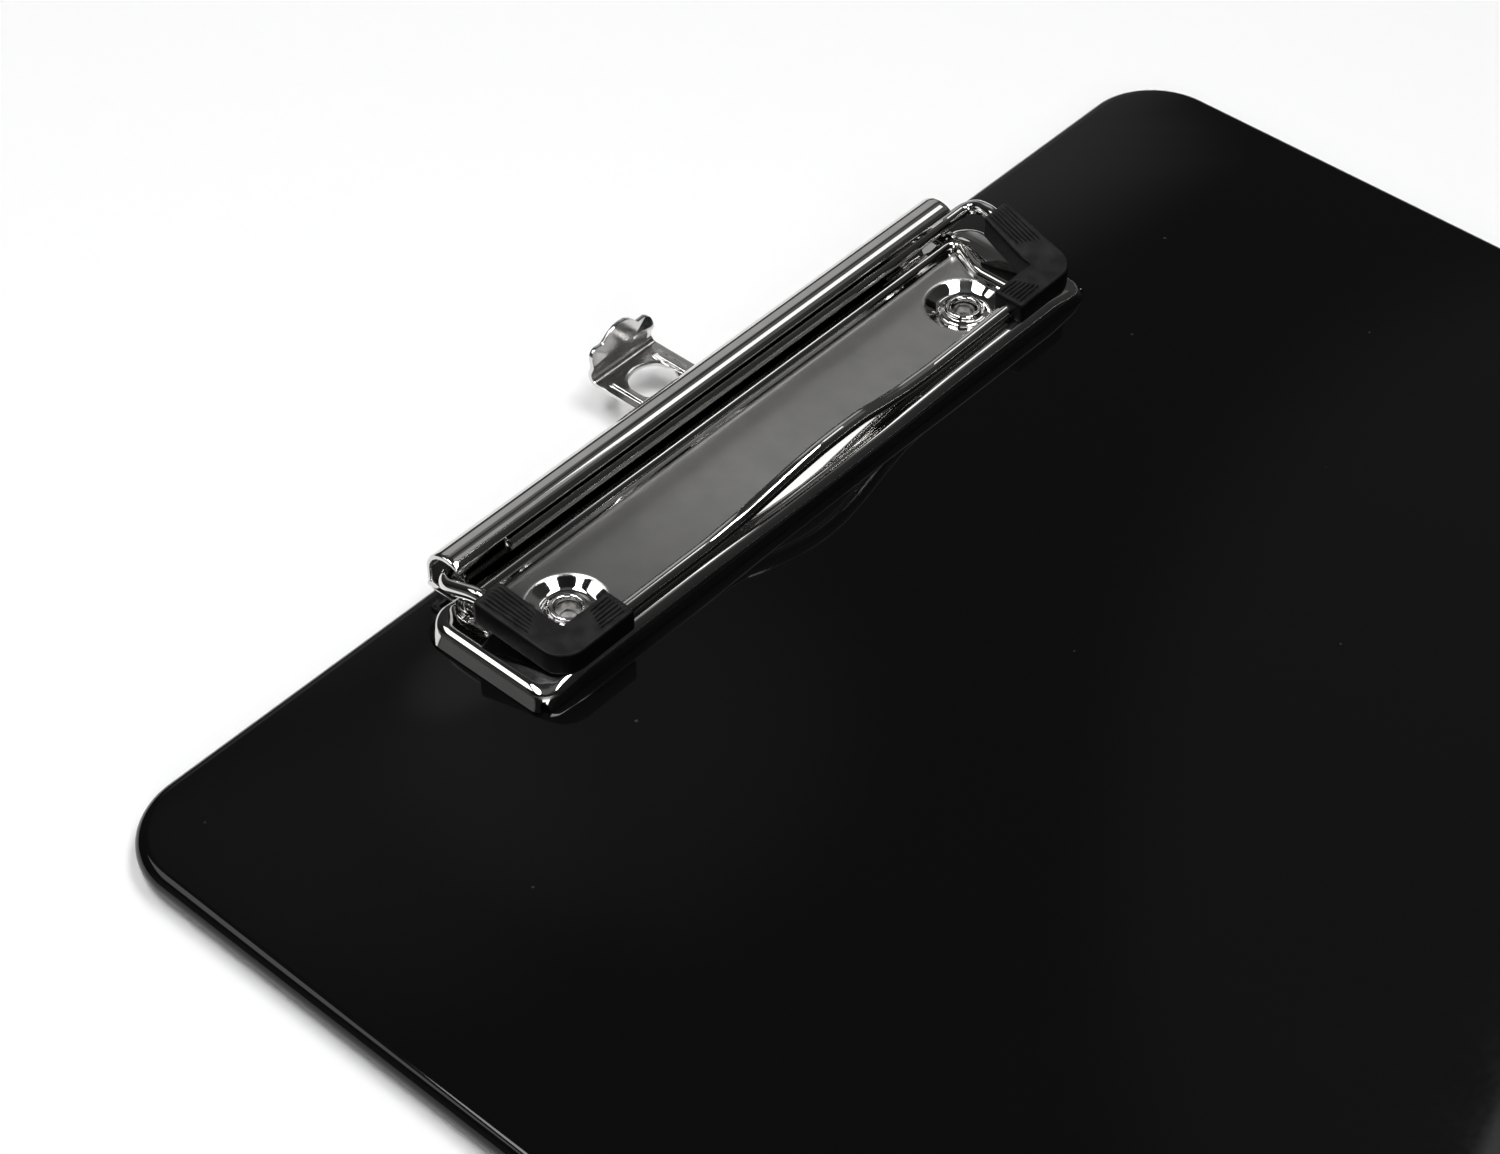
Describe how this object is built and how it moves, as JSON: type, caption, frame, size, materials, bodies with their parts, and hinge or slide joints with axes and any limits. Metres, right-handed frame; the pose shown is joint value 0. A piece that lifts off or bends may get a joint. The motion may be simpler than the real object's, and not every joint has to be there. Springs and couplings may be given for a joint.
{
  "type": "clipboard",
  "caption": "Glossy letter-size clipboard with a low sprung wire clip, rubber corner grips and a sliding hanging tab.",
  "frame": {"origin": "centre of the board's underside, without the hanging tab", "axes": "+X across the board to the right, +Y along the board towards the clip end, +Z out of the writing face"},
  "size_m": [0.2286, 0.3309, 0.0142],
  "materials": {
    "board": "polished black",
    "plate": "bright nickel plate",
    "wire": "bright nickel plate",
    "grip": "matt, finely ribbed",
    "eyelet": "bright nickel plate",
    "washer": "plain zinc",
    "hanger": "bright nickel plate"
  },
  "bodies": {
    "base": {"board": "board", "base_plate": "plate", "eyelet_left": "eyelet", "eyelet_right": "eyelet", "eyelet_washer_left": "washer", "eyelet_washer_right": "washer"},
    "bail": {"wire_bail": "wire", "corner_grip_left": "grip", "corner_grip_right": "grip"},
    "tab": {"hanger": "hanger"}
  },
  "joints": [
    {"name": "bail_pivot", "type": "hinge", "parent": "base", "child": "bail", "pos_m": [0, 0.15325, 0.01015], "axis": [-1, 0, 0], "range_deg": [0, 90], "stiffness_Nm_per_rad": 0.1, "springref_deg": -45.84},
    {"name": "hanger_slide", "type": "slide", "parent": "base", "child": "tab", "axis": [0, -1, 0], "range_m": [0, 0.013]}
  ]
}
